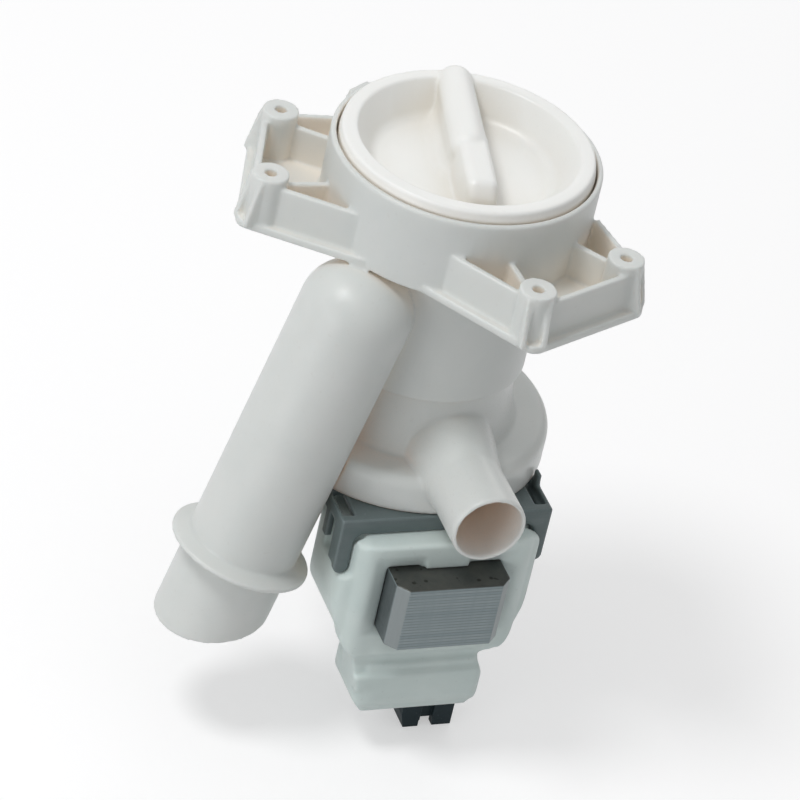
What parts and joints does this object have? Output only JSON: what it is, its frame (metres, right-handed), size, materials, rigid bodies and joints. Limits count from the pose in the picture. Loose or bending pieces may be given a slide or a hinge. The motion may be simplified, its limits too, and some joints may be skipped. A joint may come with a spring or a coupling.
{
  "type": "drain pump with lint filter",
  "caption": "Washing machine drain pump: ribbed flange with screw cap and lint filter, slanted inlet pipe, pump chamber with side spigot, laminated motor with terminal box.",
  "frame": {"origin": "on the filter's axis, in the plane of the tops of the four screw bosses", "axes": "+Z along the filter's axis, out through the cap; -Y the way the outlet spigot points; +X to the right seen from the spigot's side with the cap on top"},
  "size_m": [0.1177, 0.1052, 0.1826],
  "materials": {
    "white_moulding": "satin",
    "cap_white": "semi-gloss",
    "black_rubber": "matte",
    "basket_white": "satin",
    "impeller_grey": "satin",
    "natural_nylon": "satin",
    "shaft_steel": "ground",
    "ferrite": "matte, moulded ferrite",
    "can_grey": "satin",
    "sintered_bronze": "sintered",
    "bracket_grey": "satin",
    "lamination_steel": "stamped edges",
    "copper": "enamelled wire",
    "fuse_shell": "satin",
    "overmould_green": "satin",
    "connector_blue": "satin",
    "blade_tin": "tinned"
  },
  "bodies": {
    "root": {"filter_housing": "white_moulding", "flange_right": "white_moulding", "flange_left": "white_moulding", "inlet_pipe": "white_moulding", "pump_chamber": "white_moulding", "chamber_gasket": "black_rubber", "rotor_can": "can_grey", "bearing_plug": "natural_nylon", "front_bearing": "sintered_bronze", "front_bearing_seat": "black_rubber", "rear_bearing": "sintered_bronze", "rear_bearing_seat": "black_rubber", "motor_bracket": "bracket_grey", "stator_core": "lamination_steel", "coil_bobbin": "natural_nylon", "coil_left": "copper", "coil_right": "copper", "thermal_fuse": "fuse_shell", "stator_housing": "overmould_green", "terminal_connector": "connector_blue", "terminal_blades": "blade_tin"},
    "rotor": {"rotor_shaft": "shaft_steel", "rotor_magnet": "ferrite", "thrust_washer": "natural_nylon", "drive_dog": "natural_nylon"},
    "impeller": {"impeller": "impeller_grey"},
    "basket": {"lint_filter": "basket_white"},
    "cap": {"filter_cap": "cap_white", "cap_gasket": "black_rubber"}
  },
  "joints": [
    {"name": "filter_pull", "type": "slide", "parent": "root", "child": "basket", "axis": [0, 0, 1], "range_m": [0, 0.066]},
    {"name": "cap_turn", "type": "hinge", "parent": "basket", "child": "cap", "pos_m": [0, 0, 0], "axis": [0, 0, 1], "range_deg": [0, 90]},
    {"name": "rotor_spin", "type": "hinge", "parent": "root", "child": "rotor", "pos_m": [0, 0, -0.113], "axis": [0, 0, 1], "continuous": true},
    {"name": "impeller_play", "type": "hinge", "parent": "rotor", "child": "impeller", "pos_m": [0, 0, -0.08], "axis": [0, 0, 1], "range_deg": [-140, 140]}
  ]
}
